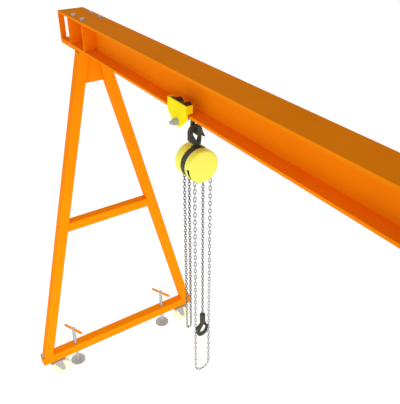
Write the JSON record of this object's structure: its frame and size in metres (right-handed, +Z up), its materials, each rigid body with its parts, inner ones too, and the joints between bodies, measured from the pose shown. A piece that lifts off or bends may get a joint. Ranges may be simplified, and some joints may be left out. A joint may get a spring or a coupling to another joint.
{
  "type": "gantry crane with hand chain hoist",
  "caption": "Portable gantry crane: an I-beam on two braced A-frames with casters and screw jacks, a push trolley and a hand chain hoist with hook.",
  "frame": {"origin": "on the floor, under the middle of the beam", "axes": "+X along the beam, +Y to the rear across the A-frames, +Z up"},
  "size_m": [3.872, 1.18, 2.408],
  "materials": {
    "orange_paint": "semi-gloss orange coat",
    "trolley_yellow": "gloss yellow coat",
    "hoist_yellow": "gloss pale yellow coat",
    "forged_steel": "dark forged, lightly oiled",
    "screw_steel": "bright turned steel",
    "chain_steel": "galvanised",
    "wheel_iron": "dark turned iron",
    "zinc_plate": "zinc plated pressing",
    "caster_tread": "cast polyurethane tread"
  },
  "bodies": {
    "frame": {"main_beam": "orange_paint", "web_stiffeners": "orange_paint", "end_stops": "orange_paint", "caster_plates": "zinc_plate", "head_plate_left": "orange_paint", "gusset_left": "orange_paint", "brace_left": "orange_paint", "foot_tube_left": "orange_paint", "leg_front_left": "orange_paint", "leg_rear_left": "orange_paint", "head_plate_right": "orange_paint", "gusset_right": "orange_paint", "brace_right": "orange_paint", "foot_tube_right": "orange_paint", "leg_front_right": "orange_paint", "leg_rear_right": "orange_paint"},
    "trolley": {"trolley_plate_front": "trolley_yellow", "trolley_plate_rear": "trolley_yellow", "trolley_axles": "trolley_yellow", "trolley_bolt": "screw_steel"},
    "hanger": {"hanger": "forged_steel"},
    "hoist": {"hoist_frame": "forged_steel", "hand_wheel_cover": "hoist_yellow", "gear_cover": "hoist_yellow", "top_hook": "forged_steel", "hand_chain": "chain_steel", "slack_chain": "chain_steel", "load_chain": "chain_steel"},
    "top_latch": {"top_hook_latch": "forged_steel"},
    "hook_block": {"hook_block": "forged_steel"},
    "load_hook": {"load_hook": "forged_steel"},
    "load_latch": {"load_hook_latch": "forged_steel"},
    "trolley_wheel_front_left": {"trolley_wheel_front_left": "wheel_iron"},
    "trolley_wheel_front_right": {"trolley_wheel_front_right": "wheel_iron"},
    "trolley_wheel_rear_left": {"trolley_wheel_rear_left": "wheel_iron"},
    "trolley_wheel_rear_right": {"trolley_wheel_rear_right": "wheel_iron"},
    "caster_fork_front_left": {"caster_fork_front_left": "zinc_plate"},
    "caster_wheel_front_left": {"caster_wheel_front_left": "caster_tread"},
    "jack_front_left": {"jack_screw_front_left": "screw_steel", "jack_handle_front_left": "orange_paint", "jack_foot_front_left": "screw_steel"},
    "caster_fork_rear_left": {"caster_fork_rear_left": "zinc_plate"},
    "caster_wheel_rear_left": {"caster_wheel_rear_left": "caster_tread"},
    "jack_rear_left": {"jack_screw_rear_left": "screw_steel", "jack_handle_rear_left": "orange_paint", "jack_foot_rear_left": "screw_steel"},
    "caster_fork_front_right": {"caster_fork_front_right": "zinc_plate"},
    "caster_wheel_front_right": {"caster_wheel_front_right": "caster_tread"},
    "jack_front_right": {"jack_screw_front_right": "screw_steel", "jack_handle_front_right": "orange_paint", "jack_foot_front_right": "screw_steel"},
    "caster_fork_rear_right": {"caster_fork_rear_right": "zinc_plate"},
    "caster_wheel_rear_right": {"caster_wheel_rear_right": "caster_tread"},
    "jack_rear_right": {"jack_screw_rear_right": "screw_steel", "jack_handle_rear_right": "orange_paint", "jack_foot_rear_right": "screw_steel"}
  },
  "joints": [
    {"name": "trolley_travel", "type": "slide", "parent": "frame", "child": "trolley", "axis": [1, 0, 0], "range_m": [-0.87, 2.182]},
    {"name": "trolley_wheel_front_left_roll", "type": "hinge", "parent": "trolley", "child": "trolley_wheel_front_left", "pos_m": [-0.688, 0, 2.2803], "axis": [0, 1, 0], "continuous": true},
    {"name": "trolley_wheel_front_right_roll", "type": "hinge", "parent": "trolley", "child": "trolley_wheel_front_right", "pos_m": [-0.624, 0, 2.2803], "axis": [0, 1, 0], "continuous": true},
    {"name": "trolley_wheel_rear_left_roll", "type": "hinge", "parent": "trolley", "child": "trolley_wheel_rear_left", "pos_m": [-0.688, 0, 2.2803], "axis": [0, 1, 0], "continuous": true},
    {"name": "trolley_wheel_rear_right_roll", "type": "hinge", "parent": "trolley", "child": "trolley_wheel_rear_right", "pos_m": [-0.624, 0, 2.2803], "axis": [0, 1, 0], "continuous": true},
    {"name": "hanger_swing", "type": "hinge", "parent": "trolley", "child": "hanger", "pos_m": [-0.656, 0, 2.217], "axis": [0, 1, 0], "range_deg": [-4, 4]},
    {"name": "hoist_swing", "type": "hinge", "parent": "hanger", "child": "hoist", "pos_m": [-0.656, 0, 2.154], "axis": [1, 0, 0], "range_deg": [-4, 4]},
    {"name": "top_latch_open", "type": "hinge", "parent": "hoist", "child": "top_latch", "pos_m": [-0.656, 0.012, 2.1008], "axis": [1, 0, 0], "range_deg": [0, 20], "stiffness_Nm_per_rad": 0.3, "springref_deg": -14.32},
    {"name": "hook_lift", "type": "slide", "parent": "hoist", "child": "hook_block", "axis": [0, 0, 1], "range_m": [-0.7, 0.7], "deforming": ["load_chain"]},
    {"name": "hook_swivel", "type": "hinge", "parent": "hook_block", "child": "load_hook", "pos_m": [-0.656, 0.035, 1.082], "axis": [0, 0, 1], "continuous": true},
    {"name": "load_latch_open", "type": "hinge", "parent": "load_hook", "child": "load_latch", "pos_m": [-0.656, 0.047, 1.0697], "axis": [-1, 0, 0], "range_deg": [0, 50], "stiffness_Nm_per_rad": 0.3, "springref_deg": -14.32},
    {"name": "caster_swivel_front_left", "type": "hinge", "parent": "frame", "child": "caster_fork_front_left", "pos_m": [-1.7, -0.494, 0.16], "axis": [0, 0, 1], "continuous": true},
    {"name": "caster_roll_front_left", "type": "hinge", "parent": "caster_fork_front_left", "child": "caster_wheel_front_left", "pos_m": [-1.7, -0.464, 0.0625], "axis": [1, 0, 0], "continuous": true},
    {"name": "jack_front_left_screw", "type": "slide", "parent": "frame", "child": "jack_front_left", "axis": [0, 0, 1], "range_m": [-0.09, 0.06]},
    {"name": "caster_swivel_rear_left", "type": "hinge", "parent": "frame", "child": "caster_fork_rear_left", "pos_m": [-1.7, 0.494, 0.16], "axis": [0, 0, 1], "continuous": true},
    {"name": "caster_roll_rear_left", "type": "hinge", "parent": "caster_fork_rear_left", "child": "caster_wheel_rear_left", "pos_m": [-1.7, 0.524, 0.0625], "axis": [1, 0, 0], "continuous": true},
    {"name": "jack_rear_left_screw", "type": "slide", "parent": "frame", "child": "jack_rear_left", "axis": [0, 0, 1], "range_m": [-0.09, 0.06]},
    {"name": "caster_swivel_front_right", "type": "hinge", "parent": "frame", "child": "caster_fork_front_right", "pos_m": [1.7, -0.494, 0.16], "axis": [0, 0, 1], "continuous": true},
    {"name": "caster_roll_front_right", "type": "hinge", "parent": "caster_fork_front_right", "child": "caster_wheel_front_right", "pos_m": [1.7, -0.464, 0.0625], "axis": [1, 0, 0], "continuous": true},
    {"name": "jack_front_right_screw", "type": "slide", "parent": "frame", "child": "jack_front_right", "axis": [0, 0, 1], "range_m": [-0.09, 0.06]},
    {"name": "caster_swivel_rear_right", "type": "hinge", "parent": "frame", "child": "caster_fork_rear_right", "pos_m": [1.7, 0.494, 0.16], "axis": [0, 0, 1], "continuous": true},
    {"name": "caster_roll_rear_right", "type": "hinge", "parent": "caster_fork_rear_right", "child": "caster_wheel_rear_right", "pos_m": [1.7, 0.524, 0.0625], "axis": [1, 0, 0], "continuous": true},
    {"name": "jack_rear_right_screw", "type": "slide", "parent": "frame", "child": "jack_rear_right", "axis": [0, 0, 1], "range_m": [-0.09, 0.06]}
  ]
}
